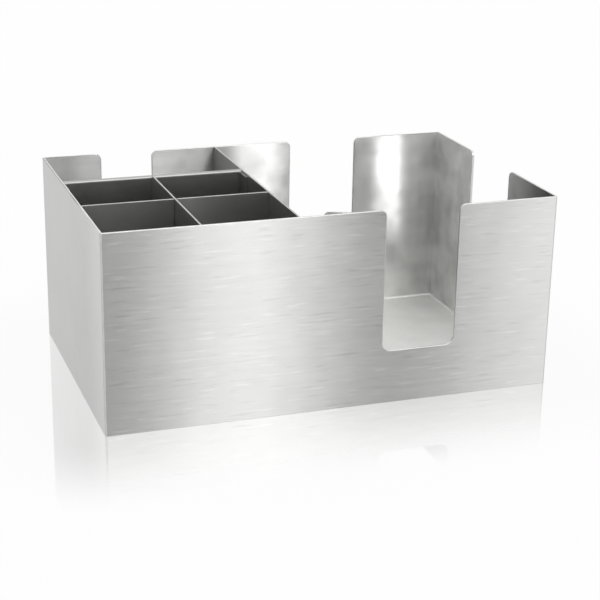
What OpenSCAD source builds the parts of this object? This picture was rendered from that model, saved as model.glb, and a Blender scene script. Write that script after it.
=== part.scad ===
// Bar caddy in stainless sheet: four walls, a napkin bay, a block of cells, and a drawer under the cells.
// The origin is the middle of the footprint, on the surface that it stands on. The front faces -Y.

/* [Body] */
// Width of the body across the front
body_w = 240; // [210:1:300]
// Depth of the body from front to back
body_d = 151; // [130:1:200]
// Height of the walls
body_h = 104; // [90:1:140]
// Thickness of the wall sheet
shell_t = 1.2; // [0.8:0.1:1.6]
// Thickness of the base sheet
base_t = 0.8; // [0.6:0.1:1.2]
// Inside radius of the base's turned-up rim
base_bend_r = 0.8; // [0.4:0.1:1.2]
// Straight part of the rim above its bend
base_rim_rise = 0.2; // [0.1:0.1:0.4]

/* [Notches] */
// Width of the napkin notches in the front and the back
napkin_notch_w = 40; // [34:1:50]
// Napkin notch centre, measured from the left wall's outer face
napkin_notch_x = 165; // [150:0.5:175]
// Height of the napkin and side notch floors above the table
notch_floor_z = 28.6; // [20:0.2:40]
// Width of the straw notch in the back
straw_notch_w = 29; // [20:1:36]
// Straw notch centre, measured from the left wall's outer face
straw_notch_x = 47.4; // [40:0.2:56]
// Height of the straw notch floor above the table
straw_notch_z = 46; // [40:1:60]
// Width of the notch in the right wall
side_notch_w = 46.6; // [30:0.2:50]
// Side notch centre, measured from the front wall's outer face
side_notch_y = 77; // [65:0.5:85]
// Radius of the outer corners at the top of each notch
notch_top_r = 3.4; // [1:0.2:6]
// Radius of the inner corners at the bottom of each notch
notch_bottom_r = 4.5; // [1:0.5:6]
// Width of the low shoulder in the back napkin notch
shoulder_w = 17.3; // [10:0.1:20]
// Height of the shoulder above the table
shoulder_z = 59.6; // [50:0.2:66]
// How far the shoulder's top falls towards the wall
shoulder_fall = 1.8; // [0.2:0.2:3]
// Radius of the shoulder's free corner
shoulder_r = 2.4; // [1:0.2:4]

/* [Cells] */
// Thickness of the partition and the dividers
divider_t = 1; // [0.8:0.1:1.4]
// Partition centre, measured from the left wall's outer face
partition_x = 99; // [96:0.5:110]
// Centre divider's centre, measured from the left wall's outer face
centre_divider_x = 49.2; // [44:0.2:56]
// Middle divider's centre, measured from the front wall's outer face
middle_divider_y = 49; // [40:1:55]
// Rear divider's front face, measured from the front wall's outer face
rear_divider_y = 95.6; // [80:0.2:98]
// Gap inside the folded hem of the rear divider
hem_gap = 0.8; // [0.4:0.1:1.2]
// Height of the hem's return leaf
hem_h = 8; // [5:1:12]
// Length of the rear divider's end flanges
end_flange_l = 12; // [8:1:16]
// Inside radius of the bends in the dividers and the cell floor
divider_bend_r = 1.5; // [0.8:0.1:2]
// Slack in the slots where the two small dividers cross
slot_gap = 0.1; // [0.05:0.05:0.2]
// Height of the cell floor's top face above the table
cell_floor_z = 29; // [27:0.5:34]

/* [Drawer] */
// Thickness of the tray sheet
tray_t = 0.8; // [0.6:0.1:1.2]
// Inside radius of the tray's bends
tray_bend_r = 1; // [0.6:0.1:1.6]
// Height of the tray's side walls
tray_wall_h = 20.4; // [16:0.2:21.4]
// Height of the drawer's front plate
drawer_front_h = 21.7; // [20:0.1:22]
// Running gap between the tray and what guides it
run_gap = 0.3; // [0.2:0.05:0.5]
// Gap all round the drawer front in its opening
face_gap = 0.5; // [0.4:0.1:0.8]
// How far the drawer opens before its stop ears reach the back wall
drawer_travel = 109.5; // [60:0.5:116]
// Length of each stop ear on the tray's side walls
ear_l = 6; // [4:1:10]
// Thickness of the runner strips
runner_t = 1.5; // [1:0.1:2]
// Width of the runner's foot under the tray
runner_foot_w = 6; // [4:0.5:10]
// Height of the runner's upright
runner_h = 10; // [6:1:14]
// Slack between the runners and the bends beside them
runner_slack = 0.2; // [0.1:0.1:0.4]
// Diameter of the closing bumpers
bumper_d = 8; // [5:0.5:12]
// Thickness of the closing bumpers
bumper_t = 2.5; // [1.5:0.1:4]
// Distance between the two bumpers
bumper_spacing = 60; // [40:1:70]

/* [Knob] */
// Diameter of the knob's head
knob_d = 14; // [10:0.5:18]
// Diameter of the knob's neck
knob_neck_d = 7.5; // [6.5:0.5:9]
// Diameter of the knob's foot
knob_foot_d = 10; // [9:0.5:14]
// Length of the knob
knob_l = 14; // [12:0.5:20]
// Thickness of the knob's head
knob_head_t = 5; // [3:0.5:6]
// Thickness of the knob's foot
knob_foot_t = 1.6; // [1:0.2:2]
// Radius round the edge of the knob's head
knob_edge_r = 1.2; // [0.4:0.2:1.4]
// Diameter of the screw's shank
screw_d = 4; // [3:0.5:5]
// Depth of the screw in the knob
screw_bite = 7; // [4:0.5:8]
// Diameter of the screw's head
screw_head_d = 7.4; // [6:0.2:8.4]
// Thickness of the screw's head
screw_head_t = 2.4; // [1.8:0.2:3]
// Width across the flats of the screw's hexagon socket
socket_w = 2.5; // [2:0.1:3]
// Depth of the socket
socket_depth = 1.4; // [0.8:0.1:1.6]
// Slack round the screw in the knob
thread_gap = 0.05; // [0.02:0.01:0.1]
// Slack round the screw in the plates and the washer
hole_gap = 0.25; // [0.1:0.05:0.4]
// Diameter of the washer
washer_d = 9; // [8.6:0.2:11]
// Thickness of the washer
washer_t = 0.8; // [0.5:0.1:1.2]

/* [Hidden] */
$fn = 64;
// Overrun of every cut past the face that it opens
cut_over = 1;
STEEL = [0.76, 0.76, 0.77];
POLISHED = [0.83, 0.83, 0.84];
DARK_STEEL = [0.55, 0.55, 0.56];
NYLON = [0.9, 0.9, 0.88];
RUBBER = [0.12, 0.12, 0.12];

// Outer faces of the body
left_x = -body_w / 2;
right_x = body_w / 2;
front_y = -body_d / 2;
back_y = body_d / 2;
// Inner faces of the walls
in_left_x = left_x + shell_t;
in_front_y = front_y + shell_t;
in_back_y = back_y - shell_t;
side_wall_l = body_d - 2 * shell_t;

// Base pan and its rim
base_rim_z = base_t + base_bend_r + base_rim_rise;
base_toe = base_t + base_bend_r;

// Partition, dividers and the space that they leave
partition_lx = left_x + partition_x - divider_t / 2;
partition_rx = partition_lx + divider_t;
cells_w = partition_lx - in_left_x;
rear_y = front_y + rear_divider_y;
hem_r = divider_t + hem_gap / 2;
hem_centre_z = body_h - hem_r;
divider_bend = divider_t + divider_bend_r;
small_divider_h = body_h - cell_floor_z;
slot_w = divider_t + 2 * slot_gap;

// Drawer: runners, tray and opening, across the width
runner_lx = in_left_x + base_toe + runner_slack;
runner_rx = partition_lx - base_toe - runner_slack;
tray_lx = runner_lx + runner_t + run_gap;
tray_rx = runner_rx - runner_t - run_gap;
tray_w = tray_rx - tray_lx;
drawer_x = (tray_lx + tray_rx) / 2;
// Along the depth
tray_fy = in_front_y + bumper_t + run_gap;
tray_l = in_back_y - tray_fy;
runner_l = side_wall_l - 2 * (base_toe + runner_slack);
// Up the height
tray_z = base_t + runner_t + run_gap;
opening_z = tray_z - run_gap;
opening_h = drawer_front_h + 2 * face_gap;
opening_w = tray_w + 2 * face_gap;
front_z = opening_z + face_gap;
ear_top_z = cell_floor_z - divider_t - run_gap;
ear_setback = tray_l - ear_l - run_gap - drawer_travel;
knob_z = front_z + drawer_front_h / 2;
screw_hole_r = screw_d / 2 + hole_gap;
bumper_z = knob_z;

// Corner left over between a square corner at the origin and the round of radius r inside it
module corner_scrap(r) {
    difference() {
        square(r);
        translate([r, r]) circle(r);
    }
}

// Rectangle standing on the X axis, centred in X, with its two lower corners rounded
module cup_outline(w, h, r) {
    difference() {
        translate([-w / 2, 0]) square([w, h]);
        for (side = [-1, 1]) scale([side, 1]) translate([-w / 2, 0]) corner_scrap(r);
    }
}

// Upright plate in the X-Z plane, drawn as a flat outline and given its thickness towards +Y
module upright(t) {
    translate([0, t, 0]) rotate([90, 0, 0]) linear_extrude(t) children();
}

// Round the two outer corners beside an opening of width w at the top of a wall
module mouth_corners(w) {
    for (side = [-1, 1])
        scale([side, 1]) translate([w / 2, 0]) mirror([0, 1]) corner_scrap(notch_top_r);
}

// Cut for a notch from a wall's top edge at Y = 0 down by depth
module notch_cut(w, depth) {
    translate([0, -depth]) cup_outline(w, depth + cut_over, notch_bottom_r);
    mouth_corners(w);
}

// Cut for the back napkin notch, which is narrower below its shoulder
module shouldered_notch_cut() {
    shoulder_drop = body_h - shoulder_z;
    depth = body_h - notch_floor_z;
    low_w = napkin_notch_w - shoulder_w;
    translate([-napkin_notch_w / 2, -shoulder_drop]) square([napkin_notch_w, shoulder_drop + cut_over]);
    translate([-shoulder_w / 2, -depth]) cup_outline(low_w, depth, notch_bottom_r);
    translate([napkin_notch_w / 2 - shoulder_w, -shoulder_drop]) {
        mirror([0, 1]) corner_scrap(shoulder_r);
        polygon([[shoulder_r, 0], [shoulder_w, 0], [shoulder_w, -shoulder_fall]]);
    }
    mouth_corners(napkin_notch_w);
}

module front_panel() {
    color(STEEL) translate([left_x, front_y, 0]) upright(shell_t) difference() {
        square([body_w, body_h]);
        translate([napkin_notch_x, body_h]) notch_cut(napkin_notch_w, body_h - notch_floor_z);
    }
}

module back_panel() {
    color(STEEL) translate([left_x, in_back_y, 0]) upright(shell_t) difference() {
        square([body_w, body_h]);
        translate([napkin_notch_x, body_h]) shouldered_notch_cut();
        translate([straw_notch_x, body_h]) notch_cut(straw_notch_w, body_h - straw_notch_z);
        translate([drawer_x - left_x - opening_w / 2, opening_z]) square([opening_w, opening_h]);
    }
}

module left_side_panel() {
    color(STEEL) translate([left_x, in_front_y, 0]) cube([shell_t, side_wall_l, body_h]);
}

module right_side_panel() {
    color(STEEL) translate([right_x, in_front_y, 0]) rotate([0, 0, 90]) upright(shell_t) difference() {
        square([side_wall_l, body_h]);
        translate([side_notch_y - shell_t, body_h]) notch_cut(side_notch_w, body_h - notch_floor_z);
    }
}

// Space of a pan of size w by d, with its lower edges rounded
module pan_space(w, d, h, r) {
    intersection() {
        translate([0, -d / 2, 0]) upright(d) cup_outline(w, h, r);
        rotate([0, 0, 90]) translate([0, -w / 2, 0]) upright(w) cup_outline(d, h, r);
    }
}

module base_pan() {
    w = body_w - 2 * shell_t;
    color(POLISHED) difference() {
        pan_space(w, side_wall_l, base_rim_z, base_toe);
        translate([0, 0, base_t])
            pan_space(w - 2 * base_t, side_wall_l - 2 * base_t, base_rim_z, base_bend_r);
    }
}

// The two lower corners are cut away to clear the base pan's rim
module section_partition() {
    color(POLISHED) translate([partition_rx, in_front_y, base_t]) rotate([0, 0, 90])
        upright(divider_t) difference() {
            square([side_wall_l, body_h - base_t]);
            for (end_y = [0, side_wall_l]) translate([end_y - base_toe, -cut_over])
                square([2 * base_toe, base_rim_z - base_t + cut_over]);
        }
}

// Hem above the web in the Y-Z plane: the sheet turns over the top and comes down behind itself
module hem_outline() {
    translate([2 * hem_r - divider_t, hem_centre_z - hem_h]) square([divider_t, hem_h]);
    translate([hem_r, hem_centre_z]) intersection() {
        difference() {
            circle(hem_r);
            circle(hem_gap / 2);
        }
        translate([-hem_r, 0]) square([2 * hem_r, hem_r]);
    }
}

// End flange in plan: the sheet turns forwards and lies along the wall
module end_flange_outline() {
    translate([0, divider_t - end_flange_l]) square([divider_t, end_flange_l - divider_bend]);
    translate([divider_bend, divider_t - divider_bend]) intersection() {
        difference() {
            circle(divider_bend);
            circle(divider_bend_r);
        }
        translate([-divider_bend, 0]) square(divider_bend);
    }
}

module rear_divider() {
    web_h = hem_centre_z - cell_floor_z;
    color(POLISHED) translate([in_left_x + cells_w / 2, rear_y, 0]) {
        translate([-cells_w / 2, 0, 0]) rotate([90, 0, 90]) linear_extrude(cells_w) hem_outline();
        translate([divider_bend - cells_w / 2, 0, cell_floor_z])
            cube([cells_w - 2 * divider_bend, divider_t, web_h]);
        for (side = [-1, 1]) scale([side, 1, 1]) translate([-cells_w / 2, 0, cell_floor_z])
            linear_extrude(web_h) end_flange_outline();
    }
}

// The middle divider is slotted from above, where the centre divider drops in
module middle_divider() {
    slot_x = centre_divider_x - shell_t;
    color(DARK_STEEL) translate([in_left_x, front_y + middle_divider_y - divider_t / 2, cell_floor_z])
        upright(divider_t) difference() {
            square([cells_w, small_divider_h]);
            translate([slot_x - slot_w / 2, small_divider_h / 2])
                square([slot_w, small_divider_h / 2 + cut_over]);
        }
}

// The centre divider is slotted from below
module centre_divider() {
    slot_y = middle_divider_y - shell_t;
    color(DARK_STEEL) translate([left_x + centre_divider_x + divider_t / 2, in_front_y, cell_floor_z])
        rotate([0, 0, 90]) upright(divider_t) difference() {
            square([rear_divider_y - shell_t, small_divider_h]);
            translate([slot_y - slot_w / 2, -cut_over])
                square([slot_w, small_divider_h / 2 + cut_over]);
        }
}

// Folded downwards at both sides: the legs stand on the base rim and line the drawer's space
module cell_floor() {
    leg_h = cell_floor_z - base_rim_z;
    color(DARK_STEEL) translate([in_left_x + cells_w / 2, in_front_y, cell_floor_z])
        mirror([0, 0, 1]) upright(side_wall_l) difference() {
            cup_outline(cells_w, leg_h, divider_bend);
            translate([0, divider_t]) cup_outline(cells_w - 2 * divider_t, leg_h, divider_bend_r);
        }
}

// Angle strip on the base: its foot carries the tray and its upright guides the tray's side
module runner() {
    upright(runner_l) {
        square([runner_foot_w, runner_t]);
        square([runner_t, runner_h]);
    }
}

module left_runner() {
    color(NYLON) translate([runner_lx, -runner_l / 2, base_t]) runner();
}

module right_runner() {
    color(NYLON) translate([runner_rx, -runner_l / 2, base_t]) mirror([1, 0, 0]) runner();
}

module closing_bumpers() {
    color(RUBBER) for (side = [-1, 1])
        translate([drawer_x + side * bumper_spacing / 2, in_front_y, bumper_z])
            rotate([-90, 0, 0]) cylinder(d = bumper_d, h = bumper_t);
}

// One folded blank: floor and sides in one channel, an end plate at each end, stop ears on the sides
module drawer_tray() {
    ear_h = ear_top_z - tray_z;
    color(POLISHED) translate([drawer_x, tray_fy, tray_z]) difference() {
        union() {
            upright(tray_l) difference() {
                cup_outline(tray_w, tray_wall_h, tray_t + tray_bend_r);
                translate([0, tray_t]) cup_outline(tray_w - 2 * tray_t, tray_wall_h, tray_bend_r);
            }
            for (end_y = [0, tray_l - tray_t]) translate([0, end_y, 0])
                upright(tray_t) cup_outline(tray_w, tray_wall_h, tray_t + tray_bend_r);
            for (side = [-1, 1]) scale([side, 1, 1])
                translate([-tray_w / 2, ear_setback, tray_wall_h / 2])
                    cube([tray_t, ear_l, ear_h - tray_wall_h / 2]);
        }
        translate([0, tray_l + cut_over, knob_z - tray_z]) rotate([90, 0, 0])
            cylinder(r = screw_hole_r, h = tray_t + 2 * cut_over);
    }
}

module drawer_front() {
    color(STEEL) translate([drawer_x, in_back_y, front_z]) upright(shell_t) difference() {
        translate([-tray_w / 2, 0]) square([tray_w, drawer_front_h]);
        translate([0, knob_z - front_z]) circle(screw_hole_r);
    }
}

// Turned knob: a broad foot on the plate, a slim neck and a rounded head
module knob_outline() {
    head_z = knob_l - knob_head_t;
    difference() {
        union() {
            square([knob_foot_d / 2, knob_foot_t]);
            square([knob_neck_d / 2, head_z]);
            translate([0, head_z]) square([knob_d / 2, knob_head_t]);
        }
        translate([knob_d / 2, head_z]) mirror([1, 0]) corner_scrap(knob_edge_r);
        translate([knob_d / 2, knob_l]) rotate(180) corner_scrap(knob_edge_r);
        translate([0, -cut_over]) square([screw_d / 2 + thread_gap, screw_bite + thread_gap + cut_over]);
    }
}

module drawer_knob() {
    color(POLISHED) translate([drawer_x, back_y, knob_z]) rotate([-90, 0, 0])
        rotate_extrude() knob_outline();
}

module knob_screw() {
    shank_l = screw_bite + shell_t + tray_t + washer_t;
    head_y = in_back_y - tray_t - washer_t - screw_head_t;
    color(DARK_STEEL) translate([drawer_x, head_y, knob_z]) rotate([-90, 0, 0]) difference() {
        union() {
            cylinder(d = screw_head_d, h = screw_head_t);
            cylinder(d = screw_d, h = screw_head_t + shank_l);
        }
        translate([0, 0, -cut_over])
            cylinder(d = socket_w / cos(30), h = socket_depth + cut_over, $fn = 6);
    }
}

module knob_washer() {
    color(DARK_STEEL) translate([drawer_x, in_back_y - tray_t - washer_t, knob_z]) rotate([-90, 0, 0])
        difference() {
            cylinder(d = washer_d, h = washer_t);
            translate([0, 0, -cut_over]) cylinder(r = screw_hole_r, h = washer_t + 2 * cut_over);
        }
}

front_panel();
back_panel();
left_side_panel();
right_side_panel();
base_pan();
section_partition();
rear_divider();
middle_divider();
centre_divider();
cell_floor();
left_runner();
right_runner();
closing_bumpers();
drawer_tray();
drawer_front();
drawer_knob();
knob_screw();
knob_washer();
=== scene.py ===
import math

import bmesh
import bpy
from mathutils import Matrix, Vector


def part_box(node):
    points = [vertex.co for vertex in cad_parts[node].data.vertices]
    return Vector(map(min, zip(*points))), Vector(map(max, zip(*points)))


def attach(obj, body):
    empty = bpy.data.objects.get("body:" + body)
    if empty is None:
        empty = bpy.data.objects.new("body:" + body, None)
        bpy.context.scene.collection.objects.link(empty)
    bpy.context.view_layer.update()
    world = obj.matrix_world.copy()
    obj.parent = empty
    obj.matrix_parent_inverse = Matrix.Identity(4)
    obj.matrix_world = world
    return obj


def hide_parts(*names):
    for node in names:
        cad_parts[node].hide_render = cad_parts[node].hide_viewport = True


# A bar caddy in stainless sheet: a napkin bay, four small cells with a long one behind them, and a drawer
# under the cells. Lengths are in metres in the part's own frame: the front faces -Y, and the drawer opens
# along +Y.
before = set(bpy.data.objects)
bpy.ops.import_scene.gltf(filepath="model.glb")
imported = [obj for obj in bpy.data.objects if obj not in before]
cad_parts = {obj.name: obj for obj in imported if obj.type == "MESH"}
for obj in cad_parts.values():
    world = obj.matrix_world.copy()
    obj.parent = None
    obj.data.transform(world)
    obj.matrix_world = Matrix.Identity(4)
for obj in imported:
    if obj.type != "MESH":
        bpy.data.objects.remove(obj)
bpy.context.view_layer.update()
MM = 0.001

# Camera: a long lens on a tripod, to the left of the front wall and a little above it.
# Its place, angles and lens fit the body's corners as the photograph shows them.
camera_azimuth = math.radians(19.51)
camera_elevation = math.radians(19.39)
camera_roll = math.radians(-1.04)
camera_place = Vector((-0.2606, -0.7537, 0.3144))
camera_lens_mm = 92.1

ahead = Vector((math.sin(camera_azimuth) * math.cos(camera_elevation),
                math.cos(camera_azimuth) * math.cos(camera_elevation),
                -math.sin(camera_elevation)))
level_right = Vector((math.cos(camera_azimuth), -math.sin(camera_azimuth), 0))
level_up = level_right.cross(ahead)
camera_right = level_right * math.cos(camera_roll) - level_up * math.sin(camera_roll)
camera_up = level_up * math.cos(camera_roll) + level_right * math.sin(camera_roll)
camera_data = bpy.data.cameras.new("camera")
camera_data.lens = camera_lens_mm
camera_data.clip_start = 50 * MM
camera = bpy.data.objects.new("camera", camera_data)
camera.matrix_world = Matrix.Translation(camera_place) @ Matrix(
    (camera_right, camera_up, -ahead)).transposed().to_4x4()
bpy.context.scene.collection.objects.link(camera)
bpy.context.scene.camera = camera


# Base pan: 0.8 mm austenitic stainless sheet with a low rim turned up all round, welded inside the walls.
# Its top keeps the pale, satin skin of the rolling mill, and the bend of the rim is painted paler as a
# highlight.
inner_edge_radius = 0.25 * MM
rounding_segments = 3
weld_distance = 0.001 * MM
flat_angle = math.radians(0.3)
sharp_angle = math.radians(40)
shading_angle = math.radians(35)
lies_flat = 0.98
# Nearly all values of a noise texture lie in these spans, the narrower one where it is fine.
noise_span = {"From Min": 0.3, "From Max": 0.7}
fine_noise_span = {"From Min": 0.35, "From Max": 0.65}


def srgb(hex_colour):
    """Linear colour, with alpha, of an sRGB hex value."""
    channels = [int(hex_colour[i:i + 2], 16) / 255 for i in (1, 3, 5)]
    return [c / 12.92 if c <= 0.04045 else ((c + 0.055) / 1.055) ** 2.4 for c in channels] + [1]


def add_node(tree, kind, inputs=(), **settings):
    """Adds a node with its settings. An input is a value, or the output that feeds it."""
    made = tree.nodes.new(kind)
    for name, value in settings.items():
        setattr(made, name, value)
    for socket, value in dict(inputs).items():
        if isinstance(value, bpy.types.NodeSocket):
            tree.links.new(value, made.inputs[socket])
        else:
            made.inputs[socket].default_value = value
    return made


def new_material(name, metallic=0.0):
    """An empty material: its node tree, its Principled surface and its object coordinates."""
    material = bpy.data.materials.new(name)
    material.use_nodes = True
    tree = material.node_tree
    surface = tree.nodes["Principled BSDF"]
    surface.inputs["Metallic"].default_value = metallic
    place = add_node(tree, "ShaderNodeTexCoord").outputs["Object"]
    return material, tree, surface, place


def rolled_stainless(name, dark, light, smooth, rough, cloud_size, pit_size, pit_depth):
    """Cold-rolled stainless steel as it leaves the mill: a cloudy half mirror with very fine pits.
    The clouds shift its tone and gloss, and the pits spread what it mirrors."""
    material, tree, surface, place = new_material(name, metallic=1)
    clouds = add_node(tree, "ShaderNodeTexNoise", {
        "Vector": place, "Scale": 1 / cloud_size, "Detail": 3, "Roughness": 0.5}).outputs["Fac"]
    pits = add_node(tree, "ShaderNodeTexNoise", {
        "Vector": place, "Scale": 1 / pit_size, "Detail": 2, "Roughness": 0.6}).outputs["Fac"]
    tone = add_node(tree, "ShaderNodeMapRange", {"Value": clouds, **noise_span})
    shade = add_node(tree, "ShaderNodeMix", {
        0: tone.outputs["Result"], 6: srgb(dark), 7: srgb(light)}, data_type="RGBA")
    tree.links.new(shade.outputs[2], surface.inputs["Base Color"])
    gloss = add_node(tree, "ShaderNodeMapRange", {
        "Value": pits, **fine_noise_span, "To Min": smooth, "To Max": rough})
    tree.links.new(gloss.outputs["Result"], surface.inputs["Roughness"])
    relief = add_node(tree, "ShaderNodeBump", {"Height": pits, "Strength": 1, "Distance": pit_depth})
    tree.links.new(relief.outputs["Normal"], surface.inputs["Normal"])
    return material


def deburred(node, body, materials, finish, radius, share=None):
    """The node's own shape with its sharp edges rounded, as a new piece that stands for the node.
    finish gives a flat face's place in materials from its normal and its centre. Rounded edges take the last
    material. share gives an edge's share of the radius from its middle and its direction."""
    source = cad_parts[node].data
    shape = bmesh.new()
    corners = [shape.verts.new(vertex.co) for vertex in source.vertices]
    for polygon in source.polygons:
        shape.faces.new([corners[i] for i in polygon.vertices])
    bmesh.ops.remove_doubles(shape, verts=shape.verts, dist=weld_distance)
    bmesh.ops.dissolve_limit(shape, angle_limit=flat_angle, verts=shape.verts, edges=shape.edges)
    shape.normal_update()
    weight = shape.edges.layers.float.new("bevel_weight_edge")
    for edge in shape.edges:
        if edge.calc_face_angle(0) > sharp_angle:
            a, b = (vertex.co for vertex in edge.verts)
            edge[weight] = share((a + b) / 2, (b - a).normalized()) if share else 1
    for face in shape.faces:
        face.material_index = finish(face.normal, face.calc_center_median())
        face.smooth = True
    mesh = bpy.data.meshes.new(node + "_finished")
    shape.to_mesh(mesh)
    shape.free()
    mesh.set_sharp_from_angle(angle=shading_angle)
    for material in materials:
        mesh.materials.append(material)
    piece = bpy.data.objects.new(node + "_finished", mesh)
    bpy.context.scene.collection.objects.link(piece)
    rounding = piece.modifiers.new("deburr", "BEVEL")
    rounding.limit_method = "WEIGHT"
    rounding.width = radius
    rounding.segments = rounding_segments
    rounding.material = len(materials) - 1
    rounding.harden_normals = True
    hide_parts(node)
    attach(piece, body)


base_floor = rolled_stainless("satin_rolled_stainless", "#efefed", "#f7f7f5", 0.6, 0.7,
                              24 * MM, 1.5 * MM, 0.001 * MM)
# The bend's paler tone is a painted highlight.
bend_highlight = rolled_stainless("stainless_bend_painted_highlight", "#f4f4f2", "#fbfbf9", 0.5, 0.6,
                             6 * MM, 1.5 * MM, 0.0005 * MM)
deburred("base_pan", "caddy", [base_floor, bend_highlight],
         lambda normal, centre: 0 if abs(normal.z) > lies_flat else 1, inner_edge_radius)


# The four walls: 1.2 mm stainless sheet, cut out with their notches, welded at the corners and ground flush.
# Outside, abrasive belts have brushed them level with the table. Inside, a softer brush has left them paler,
# with hardly any grain, and their cut edges are deburred and polished.
wall_edge_radius = 0.4 * MM
box_corner_radius = 0.9 * MM
wall_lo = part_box("left_side_panel")[0]
wall_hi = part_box("right_side_panel")[1]
front_face_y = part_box("front_panel")[0].y
back_face_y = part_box("back_panel")[1].y
at_face = 0.01 * MM
runs_upright = 0.99
faces_squarely = 0.9
light_dash_span = {"From Min": 0.61, "From Max": 0.79}
dark_dash_span = {"From Min": 0.39, "From Max": 0.21}
patch_span = {"From Min": 0.36, "From Max": 0.6}
sag_size = 30 * MM
quarter_turn = 0.25
nowhere = (-1, 0)


def brushed_stainless(name, along, tones, gloss_range, spread, relief, streak, dash, cloud, dent,
                      painted_light_and_shade=(), dull_side=nowhere):
    """Stainless steel brushed along one axis: 0 is X and 1 is Y. Faint streaks and sparse short dashes lie
    along it. They spread each reflection upwards and downwards, and leave broad upright bands.
    streak and dash give the length, the width and the share of the marks. cloud gives the size and the
    darkest share of dull patches, and dent how far the sheet is out of true. stretches gives the place, the
    reach and the share of tone of each painted stretch: a share below 1 is painted shade, as in a corner,
    and a share above 1 is painted light, as beside a notch. dull_side gives a place and how much rougher the
    steel is on its low side."""
    material, tree, surface, place = new_material(name, metallic=1)

    def marks(length, width):
        scale = [1 / width] * 3
        scale[along] = 1 / length
        stretched = add_node(tree, "ShaderNodeMapping", {"Vector": place, "Scale": scale})
        return add_node(tree, "ShaderNodeTexNoise", {
            "Vector": stretched.outputs["Vector"], "Scale": 1, "Detail": 1, "Roughness": 0.5}).outputs["Fac"]

    streak_length, streak_width, streak_share = streak
    streaks = add_node(tree, "ShaderNodeMapRange", {
        "Value": marks(streak_length, streak_width), **noise_span, "To Min": -streak_share,
        "To Max": streak_share})
    dash_length, dash_width, dash_share = dash
    dash_marks = marks(dash_length, dash_width)
    light_dashes = add_node(tree, "ShaderNodeMapRange", {
        "Value": dash_marks, **light_dash_span, "To Max": dash_share})
    dark_dashes = add_node(tree, "ShaderNodeMapRange", {
        "Value": dash_marks, **dark_dash_span, "To Max": -dash_share})
    dashes = add_node(tree, "ShaderNodeMath", {
        0: light_dashes.outputs["Result"], 1: dark_dashes.outputs["Result"]})
    grain = add_node(tree, "ShaderNodeMath", {
        0: dashes.outputs["Value"], 1: streaks.outputs["Result"]}).outputs["Value"]
    tone = add_node(tree, "ShaderNodeMapRange", {
        "Value": grain, "From Min": -1, "From Max": 1}).outputs["Result"]
    shade = add_node(tree, "ShaderNodeMix", {
        0: tone, 6: srgb(tones[0]), 7: srgb(tones[1])}, data_type="RGBA").outputs[2]
    cloud_size, cloud_share = cloud
    clouds = add_node(tree, "ShaderNodeTexNoise", {"Vector": place, "Scale": 1 / cloud_size, "Detail": 1.5})
    dulled = add_node(tree, "ShaderNodeMapRange", {
        "Value": clouds.outputs["Fac"], **patch_span, "To Min": cloud_share, "To Max": 1})
    shade = add_node(tree, "ShaderNodeVectorMath", {
        0: shade, "Scale": dulled.outputs["Result"]}, operation="SCALE").outputs["Vector"]
    axis = add_node(tree, "ShaderNodeSeparateXYZ", {"Vector": place}).outputs["XY"[along]]
    # Each stretch scales the tone near a place: down as painted shade, up as painted light.
    for middle, reach, share in painted_light_and_shade:
        off = add_node(tree, "ShaderNodeMath", {0: axis, 1: middle}, operation="SUBTRACT").outputs["Value"]
        gap = add_node(tree, "ShaderNodeMath", {0: off}, operation="ABSOLUTE").outputs["Value"]
        painted_shading = add_node(tree, "ShaderNodeMapRange", {
            "Value": gap, "From Max": reach, "To Min": share, "To Max": 1}, interpolation_type="SMOOTHSTEP")
        shade = add_node(tree, "ShaderNodeVectorMath", {
            0: shade, "Scale": painted_shading.outputs["Result"]}, operation="SCALE").outputs["Vector"]
    tree.links.new(shade, surface.inputs["Base Color"])
    gloss = add_node(tree, "ShaderNodeMapRange", {
        "Value": tone, "To Min": gloss_range[0], "To Max": gloss_range[1]})
    dull_end, dulling = dull_side
    is_dull = add_node(tree, "ShaderNodeMath", {0: axis, 1: dull_end}, operation="LESS_THAN")
    roughness = add_node(tree, "ShaderNodeMath", {
        0: is_dull.outputs["Value"], 1: dulling, 2: gloss.outputs["Result"]}, operation="MULTIPLY_ADD")
    tree.links.new(roughness.outputs["Value"], surface.inputs["Roughness"])
    sag = add_node(tree, "ShaderNodeTexNoise", {
        "Vector": place, "Scale": 1 / sag_size, "Detail": 1}).outputs["Fac"]
    dented = add_node(tree, "ShaderNodeBump", {"Height": sag, "Strength": 1, "Distance": dent})
    grooves = add_node(tree, "ShaderNodeBump", {
        "Height": grain, "Normal": dented.outputs["Normal"], "Strength": 1, "Distance": relief})
    tree.links.new(grooves.outputs["Normal"], surface.inputs["Normal"])
    level = add_node(tree, "ShaderNodeTangent", direction_type="RADIAL", axis="Z")
    tree.links.new(level.outputs["Tangent"], surface.inputs["Tangent"])
    surface.inputs["Anisotropic"].default_value = spread
    surface.inputs["Anisotropic Rotation"].default_value = quarter_turn
    return material


def wall_edge_share(middle, direction):
    """Full radius down the box's outer corners, a smaller one on free edges, none where walls are welded."""
    at_corner = min(middle.x - wall_lo.x, wall_hi.x - middle.x) < at_face
    outside = min(middle.y - front_face_y, back_face_y - middle.y) < at_face
    if abs(direction.z) > runs_upright and (at_corner or middle.z < at_face):
        return 1 if outside else 0
    if middle.z < at_face:
        return 0
    return wall_edge_radius / box_corner_radius


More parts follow.
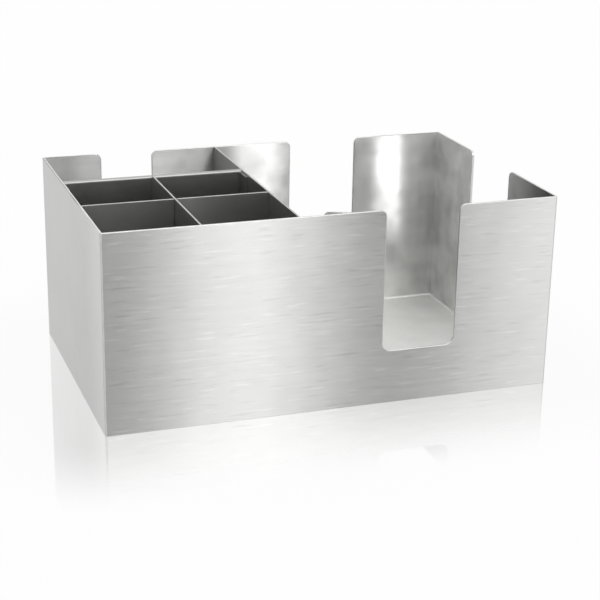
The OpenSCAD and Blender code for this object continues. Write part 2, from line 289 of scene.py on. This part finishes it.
belt_marks = {
    "tones": ("#c6c6c5", "#d8d8d7"), "gloss_range": (0.19, 0.21), "spread": 0.95, "relief": 0.003 * MM,
    "streak": (60 * MM, 3 * MM, 0.15), "dash": (15 * MM, 1.3 * MM, 1.3), "cloud": (30 * MM, 0.97),
    "dent": 0.06 * MM}
# The side walls' outer tone is painted a little darker than the front's, as painted shade.
shaded_side_belt_marks = {**belt_marks, "tones": ("#c6c6c5", "#d0d0cf")}
soft_marks = {
    "tones": ("#dededd", "#e6e6e5"), "gloss_range": (0.25, 0.27), "spread": 1.0, "relief": 0.0003 * MM,
    "streak": (30 * MM, 4 * MM, 0.5), "dash": (12 * MM, 1.6 * MM, 0.5), "cloud": (16 * MM, 0.78),
    "dent": 0.15 * MM}
side_soft_marks = {**soft_marks, "gloss_range": (0.33, 0.35), "spread": 0.97}
inner_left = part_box("left_side_panel")[1].x
inner_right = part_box("right_side_panel")[0].x
inner_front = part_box("front_panel")[1].y
inner_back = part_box("back_panel")[0].y
partition_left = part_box("section_partition")[0].x
partition_shade = partition_left + 6 * MM
straw_notch_right = -58.1 * MM
beside_napkin_notch = 15 * MM
napkin_notch_right = 65 * MM
side_notch_back = 24.8 * MM
belt_brushed = [
    brushed_stainless("belt_brushed_stainless_along_x", 0, **belt_marks),
    # Towards the front corner the side walls' outer tone is painted lighter, as painted light.
    brushed_stainless("belt_brushed_stainless_painted_shading_along_y", 1, **shaded_side_belt_marks, painted_light_and_shade=(
        (front_face_y, 45 * MM, 1.22),))]
# Inside, the tone is painted darker towards the corners and beside the partition, as painted shade, and
# painted lighter beside the notches, as painted light.
soft_brushed = brushed_stainless(
    "soft_brushed_stainless_painted_shading_along_x", 0, **soft_marks, dull_side=(partition_left, 0.16), painted_light_and_shade=(
        (inner_left, 30 * MM, 0.85), (straw_notch_right, 28 * MM, 1.35), (partition_shade, 15 * MM, 0.5),
        (beside_napkin_notch, 23 * MM, 1.25), (napkin_notch_right, 13 * MM, 1.3),
        (inner_right, 30 * MM, 0.8)))
soft_brushed_left = brushed_stainless(
    "soft_brushed_stainless_painted_shading_along_y", 1, **side_soft_marks, painted_light_and_shade=(
        (inner_front, 60 * MM, 0.3), (inner_back, 30 * MM, 0.9)))
soft_brushed_right = brushed_stainless(
    "soft_brushed_stainless_painted_shading_beside_notch", 1, **side_soft_marks, painted_light_and_shade=(
        (inner_front, 60 * MM, 0.2), (side_notch_back, 34 * MM, 1.3)))
polished_edge = rolled_stainless("polished_stainless_edge", "#c8c8c6", "#d6d6d4", 0.12, 0.24,
                                 5 * MM, 0.6 * MM, 0.003 * MM)
for node, along, outwards, inside in (
        ("front_panel", 0, -1, soft_brushed), ("back_panel", 0, 1, soft_brushed),
        ("left_side_panel", 1, -1, soft_brushed_left), ("right_side_panel", 1, 1, soft_brushed_right)):
    def wall_finish(normal, centre):
        facing = normal[1 - along] * outwards
        return 0 if facing > faces_squarely else 1 if facing < -faces_squarely else 2

    deburred(node, "caddy", [belt_brushed[along], inside, polished_edge], wall_finish,
             box_corner_radius, wall_edge_share)


# Partition, dividers and cell floor: 1 mm stainless sheet, folded or slotted together, welded to the walls.
# They keep the mill's half-mirror skin, which shows the dark of the cells, and their tone is painted darker
# as the cells' shade. Their sheared edges are only wiped over, but the rear divider's top is a fold and has
# the skin of its faces.
edge_depth = 3 * MM
faces_upwards = 0.5
shaded_mill_face = rolled_stainless("mill_finish_stainless_painted_shade", "#a0a09f", "#acacab", 0.3, 0.36,
                                22 * MM, 1.5 * MM, 0.0004 * MM)
sheared_edge = rolled_stainless("sheared_stainless_edge", "#a8a8a6", "#bebebc", 0.3, 0.5,
                                4 * MM, 0.5 * MM, 0.01 * MM)
for node in ("section_partition", "rear_divider", "middle_divider", "centre_divider", "cell_floor"):
    edge_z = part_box(node)[1].z - edge_depth
    top_finish = 0 if node == "rear_divider" else 1
    # Their faces' darker tone is painted shade.
    deburred(node, "caddy", [shaded_mill_face, sheared_edge],
             lambda normal, centre: top_finish if normal.z > faces_upwards and centre.z > edge_z else 0,
             inner_edge_radius)


# Runners: two extruded strips of natural nylon, glued to the base, that carry the tray and guide its sides.
# Nylon is milky and lets a little light in, and the die has left faint lines along each strip.
nylon, nylon_tree, nylon_surface, nylon_place = new_material("extruded_natural_nylon")
die_line_width = 0.4 * MM
die_line_length = 80 * MM
die_place = add_node(nylon_tree, "ShaderNodeMapping", {
    "Vector": nylon_place, "Scale": (1 / die_line_width, 1 / die_line_length, 1 / die_line_width)})
die_lines = add_node(nylon_tree, "ShaderNodeTexNoise", {
    "Vector": die_place.outputs["Vector"], "Scale": 1, "Detail": 2}).outputs["Fac"]
nylon_shade = add_node(nylon_tree, "ShaderNodeMix", {
    0: die_lines, 6: srgb("#dcdad0"), 7: srgb("#efeee7")}, data_type="RGBA")
nylon_tree.links.new(nylon_shade.outputs[2], nylon_surface.inputs["Base Color"])
nylon_gloss = add_node(nylon_tree, "ShaderNodeMapRange", {"Value": die_lines, "To Min": 0.3, "To Max": 0.55})
nylon_tree.links.new(nylon_gloss.outputs["Result"], nylon_surface.inputs["Roughness"])
nylon_relief = add_node(nylon_tree, "ShaderNodeBump", {
    "Height": die_lines, "Strength": 1, "Distance": 0.02 * MM})
nylon_tree.links.new(nylon_relief.outputs["Normal"], nylon_surface.inputs["Normal"])
nylon_surface.inputs["IOR"].default_value = 1.53
nylon_surface.inputs["Subsurface Weight"].default_value = 0.15
nylon_surface.inputs["Subsurface Scale"].default_value = 1 * MM
for node in ("left_runner", "right_runner"):
    deburred(node, "caddy", [nylon], lambda normal, centre: 0, inner_edge_radius)


# Bumpers: two moulded rubber buttons on the inside of the front wall, which stop the closed tray.
# They are matt black, with the fine spark texture of their mould and a rounded rim.
spark_size = 0.35 * MM
bumper_rim_radius = 0.6 * MM
rubber, rubber_tree, rubber_surface, rubber_place = new_material("moulded_black_rubber")
spark_grain = add_node(rubber_tree, "ShaderNodeTexNoise", {
    "Vector": rubber_place, "Scale": 1 / spark_size, "Detail": 3, "Roughness": 0.6}).outputs["Fac"]
rubber_shade = add_node(rubber_tree, "ShaderNodeMix", {
    0: spark_grain, 6: srgb("#151515"), 7: srgb("#2b2b2a")}, data_type="RGBA")
rubber_tree.links.new(rubber_shade.outputs[2], rubber_surface.inputs["Base Color"])
rubber_gloss = add_node(rubber_tree, "ShaderNodeMapRange", {
    "Value": spark_grain, "To Min": 0.6, "To Max": 0.85})
rubber_tree.links.new(rubber_gloss.outputs["Result"], rubber_surface.inputs["Roughness"])
rubber_relief = add_node(rubber_tree, "ShaderNodeBump", {
    "Height": spark_grain, "Strength": 1, "Distance": 0.03 * MM})
rubber_tree.links.new(rubber_relief.outputs["Normal"], rubber_surface.inputs["Normal"])
deburred("closing_bumpers", "caddy", [rubber], lambda normal, centre: 0, bumper_rim_radius)


# Drawer tray: one folded blank of 0.8 mm mill-finish sheet, with a stop ear on each side for the back wall.
# The bottom is scuffed by what slides about in it, and the edges are wiped over like those of the dividers.
below_tray_walls = 6 * MM
tray_floor = rolled_stainless("scuffed_mill_stainless", "#c6c6c3", "#dadad7", 0.3, 0.46,
                              15 * MM, 1.5 * MM, 0.001 * MM)
# The tray's walls take the dividers' tone, which is painted shade.
deburred("drawer_tray", "drawer", [shaded_mill_face, tray_floor, sheared_edge],
         lambda normal, centre: 1 if abs(normal.z) > faces_squarely and centre.z < below_tray_walls else 0,
         inner_edge_radius)


# Drawer front: a plate of the walls' own sheet, brushed with them and fixed to the tray by the knob's screw.
# Its edge is polished like the notches.
# Its inside takes the inner walls' material, with its painted shade and painted light.
deburred("drawer_front", "drawer", [belt_brushed[0], soft_brushed, polished_edge],
         lambda normal, centre: 0 if normal.y > faces_squarely else 1 if normal.y < -faces_squarely else 2,
         wall_edge_radius)


# Knob: turned from stainless bar and polished, with a foot against the plate, a waist and a round head.
# The tool leaves fine rings, drawn 1.6 mm apart so that they show, and a narrow groove is cut into its face.
knob_lo, knob_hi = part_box("drawer_knob")
knob_axis = (knob_lo + knob_hi) / 2
knob_length = knob_hi.y - knob_lo.y
head_radius = (knob_hi.x - knob_lo.x) / 2
foot_radius = 5 * MM
foot_thickness = 1.6 * MM
neck_radius = 3.75 * MM
head_thickness = 5 * MM
edge_radius = 1.2 * MM
waist_radius = 1 * MM
bore_radius = 2.05 * MM
bore_depth = 7.05 * MM
face_groove_radius = 3.6 * MM
face_groove_width = 0.5 * MM
face_groove_depth = 0.25 * MM
ring_pitch = 1.5708 * MM
wave_radians = 20
smudge_size = 3 * MM
knob_segments = 96
full_turn = math.radians(360)


def arc(centre, radius, start, end, steps=8):
    """Points on an arc in the knob's outline, which holds distances along and from its axis."""
    angles = [math.radians(start + (end - start) * i / steps) for i in range(steps + 1)]
    return [(centre[0] + radius * math.cos(a), centre[1] + radius * math.sin(a)) for a in angles]


head_start = knob_length - head_thickness
waist_start = foot_thickness + waist_radius
waist_end = head_start - waist_radius
groove_outside = face_groove_radius + face_groove_width / 2
groove_inside = face_groove_radius - face_groove_width / 2
groove_slope = face_groove_width / 4
groove_floor = knob_length - face_groove_depth
outline = [(bore_depth, 0), (bore_depth, bore_radius), (0, bore_radius)]
outline += arc((inner_edge_radius, foot_radius - inner_edge_radius), inner_edge_radius, 180, 90, 3)
outline += arc((foot_thickness - inner_edge_radius, foot_radius - inner_edge_radius), inner_edge_radius,
               90, 0, 3)
outline += arc((waist_start, neck_radius + waist_radius), waist_radius, 180, 270)
outline += arc((waist_end, neck_radius + waist_radius), waist_radius, 270, 360)
outline += arc((head_start + edge_radius, head_radius - edge_radius), edge_radius, 180, 90)
outline += arc((knob_length - edge_radius, head_radius - edge_radius), edge_radius, 90, 0)
outline += [(knob_length, groove_outside), (groove_floor, groove_outside - groove_slope),
            (groove_floor, groove_inside + groove_slope), (knob_length, groove_inside), (knob_length, 0)]
lathe = bmesh.new()
turned = [lathe.verts.new((knob_axis.x, knob_lo.y + along, knob_axis.z + out)) for along, out in outline]
ridge = [lathe.edges.new(pair) for pair in zip(turned, turned[1:])]
bmesh.ops.spin(lathe, geom=turned + ridge, cent=(knob_axis.x, knob_lo.y, knob_axis.z), axis=(0, 1, 0),
               angle=full_turn, steps=knob_segments, use_merge=True)
bmesh.ops.remove_doubles(lathe, verts=lathe.verts, dist=weld_distance)
bmesh.ops.recalc_face_normals(lathe, faces=lathe.faces)
for face in lathe.faces:
    face.smooth = True
knob_mesh = bpy.data.meshes.new("turned_knob")
lathe.to_mesh(knob_mesh)
lathe.free()
knob_mesh.set_sharp_from_angle(angle=shading_angle)
knob = bpy.data.objects.new("turned_knob", knob_mesh)
bpy.context.scene.collection.objects.link(knob)
knob_steel, knob_tree, knob_surface, knob_place = new_material("turned_polished_stainless", metallic=1)
centred = add_node(knob_tree, "ShaderNodeMapping", {"Vector": knob_place, "Location": -knob_axis})
rings = add_node(knob_tree, "ShaderNodeTexWave", {
    "Vector": centred.outputs["Vector"], "Scale": math.tau / (wave_radians * ring_pitch), "Distortion": 0.4,
    "Detail": 1}, wave_type="RINGS", rings_direction="Y").outputs["Fac"]
smudges = add_node(knob_tree, "ShaderNodeTexNoise", {
    "Vector": knob_place, "Scale": 1 / smudge_size, "Detail": 2}).outputs["Fac"]
knob_gloss = add_node(knob_tree, "ShaderNodeMapRange", {
    "Value": smudges, **noise_span, "To Min": 0.1, "To Max": 0.2})
knob_tree.links.new(knob_gloss.outputs["Result"], knob_surface.inputs["Roughness"])
knob_relief = add_node(knob_tree, "ShaderNodeBump", {"Height": rings, "Strength": 1, "Distance": 0.004 * MM})
knob_tree.links.new(knob_relief.outputs["Normal"], knob_surface.inputs["Normal"])
knob_surface.inputs["Base Color"].default_value = srgb("#dededc")
knob_mesh.materials.append(knob_steel)
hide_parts("drawer_knob")
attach(knob, "drawer")


# Screw and washer: an M4 socket screw and its plain washer, headed and stamped from stainless steel.
# They sit inside the tray, and are duller and greyer than the sheet, with rounded edges.
fastener_edge_radius = 0.2 * MM
screw_steel = rolled_stainless("plain_stainless_fastener", "#8f8f8e", "#a6a6a5", 0.3, 0.45,
                               2 * MM, 0.4 * MM, 0.006 * MM)
for node in ("knob_screw", "knob_washer"):
    deburred(node, "drawer", [screw_steel], lambda normal, centre: 0, fastener_edge_radius)


# Table: a white acrylic top, which mirrors the caddy's foot. The mirror image fades out a hand's width away.
# Most of its white is its own, so that the caddy's soft shadow stays light.
table_half = 20
table_drop = 0.05 * MM
mirror_reach = 85 * MM
mirror_most = 0.85
own_white = 0.88
table_mesh = bpy.data.meshes.new("table")
table_mesh.from_pydata([(-table_half, -table_half, 0), (table_half, -table_half, 0),
                        (table_half, table_half, 0), (-table_half, table_half, 0)], [], [(0, 1, 2, 3)])
table = bpy.data.objects.new("table", table_mesh)
table.location.z = -table_drop
table.visible_glossy = False
bpy.context.scene.collection.objects.link(table)
acrylic, acrylic_tree, acrylic_surface, acrylic_place = new_material("white_acrylic_table")
acrylic_surface.inputs["Base Color"].default_value = srgb("#f7f7f7")
acrylic_surface.inputs["Roughness"].default_value = 0.6
acrylic_surface.inputs["Specular IOR Level"].default_value = 0
rays = add_node(acrylic_tree, "ShaderNodeLightPath")
sees_white = rays.outputs["Is Camera Ray"]
for kind in ("Is Glossy Ray", "Is Transmission Ray"):
    sees_white = add_node(acrylic_tree, "ShaderNodeMath", {0: sees_white, 1: rays.outputs[kind]},
                          operation="MAXIMUM").outputs["Value"]
own_share = add_node(acrylic_tree, "ShaderNodeMath", {0: sees_white, 1: own_white}, operation="MULTIPLY")
glow = add_node(acrylic_tree, "ShaderNodeEmission", {"Color": (1, 1, 1, 1), "Strength": 1})
white = add_node(acrylic_tree, "ShaderNodeMixShader", {
    0: own_share.outputs["Value"], 1: acrylic_surface.outputs["BSDF"], 2: glow.outputs["Emission"]})
sheen = add_node(acrylic_tree, "ShaderNodeBsdfGlossy", {"Color": srgb("#e7e7e7"), "Roughness": 0.04})
far_side = add_node(acrylic_tree, "ShaderNodeVectorMath", {0: acrylic_place}, operation="ABSOLUTE")
beyond = add_node(acrylic_tree, "ShaderNodeVectorMath", {
    0: far_side.outputs["Vector"], 1: (wall_hi.x, back_face_y, 0)}, operation="SUBTRACT")
outwards = add_node(acrylic_tree, "ShaderNodeVectorMath", {0: beyond.outputs["Vector"]}, operation="MAXIMUM")
away = add_node(acrylic_tree, "ShaderNodeVectorMath", {0: outwards.outputs["Vector"]}, operation="LENGTH")
mirror_share = add_node(acrylic_tree, "ShaderNodeMapRange", {
    "Value": away.outputs["Value"], "From Max": mirror_reach, "To Min": mirror_most, "To Max": 0},
    interpolation_type="SMOOTHSTEP")
topped = add_node(acrylic_tree, "ShaderNodeMixShader", {
    0: mirror_share.outputs["Result"], 1: white.outputs["Shader"], 2: sheen.outputs["BSDF"]})
acrylic_tree.links.new(topped.outputs["Shader"], acrylic_tree.nodes["Material Output"].inputs["Surface"])
table_mesh.materials.append(acrylic)


# Light tent: white cloth and grey cards all round the table, which only metal mirrors.
# The cards stand upright, so every wall shows broad upright bands. In front, the roof has a bright strip.
# A card is given by its bearing, in degrees to the right of straight ahead of the front, and its brightness.
tent_radius = 12
tent_peak = 3
tent_cards = [
    (-180, 0.8), (-173, 0.72), (-166, 0.88), (-158, 0.2), (-148, 0.15), (-135, 0.9), (-118, 1.1),
    (-100, 0.55), (-82, 1.2), (-62, 0.6), (-45, 0.7), (-25, 1.15), (-8, 0.5), (6, 0.4), (11.8, 0.42),
    (17.4, 1.7), (22.8, 0.27), (30, 1.36), (38, 0.88), (50, 0.55), (68, 1.15), (88, 0.6), (108, 1.2),
    (128, 0.6), (142, 0.2), (160, 0.2), (172, 0.8), (180, 0.85)]
card_gain_front, card_gain_back = 0.75, 1.9
haze_level_front = 0.55
gain_start, gain_end = -0.6 * tent_radius, 0.3 * tent_radius
haze_foot, haze_top = 0.05 * tent_radius, 0.33 * tent_radius
to_back_right, to_back_left = (0.6, 0.8, 0), (-0.6, 0.8, 0)
eaves_start, eaves_end = 0.55 * tent_radius, 0.85 * tent_radius
eaves_high, eaves_low = 0.42 * tent_radius, 0.1 * tent_radius
eaves_blend = 0.2 * tent_radius
roof_level, strip_level = 1.2, 4.1
strip_start, strip_end = -0.6 * tent_radius, -0.1 * tent_radius
strip_bearing = math.radians(17)
strip_inner_angle, strip_outer_angle = math.radians(12), math.radians(24)
strip_dims_from, strip_dims_to = 0.62 * tent_radius, 0.8 * tent_radius
strip_top_share = 0.1
shade_start, shade_end = 0.7 * tent_radius, 0.9 * tent_radius
shaded_share = 0.2

tent_shape = bmesh.new()
bmesh.ops.create_uvsphere(tent_shape, u_segments=48, v_segments=24, radius=tent_radius)
tent_mesh = bpy.data.meshes.new("light_tent")
tent_shape.to_mesh(tent_mesh)
tent_shape.free()
tent = bpy.data.objects.new("light_tent", tent_mesh)
tent.visible_camera = False
tent.visible_diffuse = False
tent.visible_shadow = False
bpy.context.scene.collection.objects.link(tent)
cloth = bpy.data.materials.new("tent_cloth_and_cards")
cloth.use_nodes = True
cloth.cycles.emission_sampling = "NONE"
cloth_tree = cloth.node_tree
cloth_tree.nodes.clear()
cloth_place = add_node(cloth_tree, "ShaderNodeTexCoord").outputs["Object"]
tent_x, tent_y, tent_z = add_node(cloth_tree, "ShaderNodeSeparateXYZ", {"Vector": cloth_place}).outputs
forward = add_node(cloth_tree, "ShaderNodeMath", {0: tent_y, 1: -1.0}, operation="MULTIPLY")
bearing = add_node(cloth_tree, "ShaderNodeMath", {
    0: tent_x, 1: forward.outputs["Value"]}, operation="ARCTAN2").outputs["Value"]
turn = add_node(cloth_tree, "ShaderNodeMapRange", {
    "Value": bearing, "From Min": -math.pi, "From Max": math.pi})
cards = add_node(cloth_tree, "ShaderNodeValToRGB", {"Fac": turn.outputs["Result"]})
cards.color_ramp.interpolation = "EASE"
stops = cards.color_ramp.elements
for degrees, brightness in tent_cards[1:-1]:
    stops.new(degrees / 360 + 0.5)
for stop, (degrees, brightness) in zip(stops, tent_cards):
    stop.color = [brightness / tent_peak] * 3 + [1]
card_gain = add_node(cloth_tree, "ShaderNodeMapRange", {
    "Value": tent_y, "From Min": gain_start, "From Max": gain_end, "To Min": card_gain_front,
    "To Max": card_gain_back}, interpolation_type="SMOOTHSTEP")
haze = add_node(cloth_tree, "ShaderNodeMapRange", {
    "Value": tent_y, "From Min": gain_start, "From Max": gain_end, "To Min": haze_level_front / tent_peak,
    "To Max": 0}, interpolation_type="SMOOTHSTEP")
gained = add_node(cloth_tree, "ShaderNodeVectorMath", {
    0: cards.outputs["Color"], "Scale": card_gain.outputs["Result"]}, operation="SCALE")
hazy = add_node(cloth_tree, "ShaderNodeVectorMath", {0: gained.outputs["Vector"], 1: haze.outputs["Result"]})
is_hazy = add_node(cloth_tree, "ShaderNodeMapRange", {
    "Value": tent_z, "From Min": haze_foot, "From Max": haze_top}, interpolation_type="SMOOTHSTEP")
lifted = add_node(cloth_tree, "ShaderNodeMix", {
    0: is_hazy.outputs["Result"], 6: cards.outputs["Color"], 7: hazy.outputs["Vector"]}, data_type="RGBA")
back_right = add_node(cloth_tree, "ShaderNodeVectorMath", {
    0: cloth_place, 1: to_back_right}, operation="DOT_PRODUCT")
eaves = add_node(cloth_tree, "ShaderNodeMapRange", {
    "Value": back_right.outputs["Value"], "From Min": eaves_start, "From Max": eaves_end,
    "To Min": eaves_high, "To Max": eaves_low})
above = add_node(cloth_tree, "ShaderNodeMath", {0: tent_z, 1: eaves.outputs["Result"]}, operation="SUBTRACT")
is_roof = add_node(cloth_tree, "ShaderNodeMapRange", {
    "Value": above.outputs["Value"], "From Max": eaves_blend}, interpolation_type="SMOOTHSTEP")
strip_front = add_node(cloth_tree, "ShaderNodeMapRange", {
    "Value": tent_y, "From Min": strip_start, "From Max": strip_end, "To Min": strip_level - roof_level,
    "To Max": 0}, interpolation_type="SMOOTHSTEP")
off_strip = add_node(cloth_tree, "ShaderNodeMath", {0: bearing, 1: strip_bearing}, operation="SUBTRACT")
strip_gap = add_node(cloth_tree, "ShaderNodeMath", {0: off_strip.outputs["Value"]}, operation="ABSOLUTE")
strip_across = add_node(cloth_tree, "ShaderNodeMapRange", {
    "Value": strip_gap.outputs["Value"], "From Min": strip_inner_angle, "From Max": strip_outer_angle,
    "To Min": 1 / tent_peak, "To Max": 0}, interpolation_type="SMOOTHSTEP")
strip_up = add_node(cloth_tree, "ShaderNodeMapRange", {
    "Value": tent_z, "From Min": strip_dims_from, "From Max": strip_dims_to, "To Min": 1,
    "To Max": strip_top_share}, interpolation_type="SMOOTHSTEP")
strip = add_node(cloth_tree, "ShaderNodeMath", {
    0: strip_across.outputs["Result"], 1: strip_up.outputs["Result"]}, operation="MULTIPLY")
roof = add_node(cloth_tree, "ShaderNodeMath", {
    0: strip_front.outputs["Result"], 1: strip.outputs["Value"], 2: roof_level / tent_peak},
    operation="MULTIPLY_ADD")
back_left = add_node(cloth_tree, "ShaderNodeVectorMath", {
    0: cloth_place, 1: to_back_left}, operation="DOT_PRODUCT")
roof_shade = add_node(cloth_tree, "ShaderNodeMapRange", {
    "Value": back_left.outputs["Value"], "From Min": shade_start, "From Max": shade_end, "To Min": 1,
    "To Max": shaded_share}, interpolation_type="SMOOTHSTEP")
shaded_roof = add_node(cloth_tree, "ShaderNodeMath", {
    0: roof.outputs["Value"], 1: roof_shade.outputs["Result"]}, operation="MULTIPLY")
tent_tone = add_node(cloth_tree, "ShaderNodeMix", {
    0: is_roof.outputs["Result"], 6: lifted.outputs[2], 7: shaded_roof.outputs["Value"]}, data_type="RGBA")
tent_light = add_node(cloth_tree, "ShaderNodeEmission", {
    "Color": tent_tone.outputs[2], "Strength": tent_peak})
add_node(cloth_tree, "ShaderNodeOutputMaterial", {"Surface": tent_light.outputs["Emission"]})
tent_mesh.materials.append(cloth)


# Side softbox: a narrow, gridded box just outside the notch in the right wall, facing the bay's back wall.
# Only metal mirrors it, as the bright upright band in the bay.
softbox_place = Vector((128.3, -20.9, 61)) * MM
softbox_aim = Vector((-0.373, 0.866, 0.332))
softbox_width, softbox_height = 14 * MM, 102 * MM
softbox_watts = 0.00072
grid_angle = math.radians(38)
softbox_lamp = bpy.data.lights.new("side_softbox", "AREA")
softbox_lamp.shape = "RECTANGLE"
softbox_lamp.size = softbox_width
softbox_lamp.size_y = softbox_height
softbox_lamp.energy = softbox_watts
softbox_lamp.spread = grid_angle
softbox = bpy.data.objects.new("side_softbox", softbox_lamp)
softbox.location = softbox_place
softbox.rotation_euler = softbox_aim.to_track_quat("-Z", "Y").to_euler()
softbox.visible_camera = False
softbox.visible_diffuse = False
softbox.visible_transmission = False
softbox.visible_volume_scatter = False
bpy.context.scene.collection.objects.link(softbox)


# Room: an even white light from all sides, which metal doesn't mirror, because it mirrors the tent.
# At a strength of 1 every colour renders about as it is written.
room = bpy.data.worlds.new("white_room")
room.use_nodes = True
room_light = room.node_tree.nodes["Background"]
room_light.inputs["Color"].default_value = (1, 1, 1, 1)
room_light.inputs["Strength"].default_value = 1
room.cycles_visibility.glossy = False
bpy.context.scene.world = room

bpy.context.scene.view_settings.view_transform = "Standard"
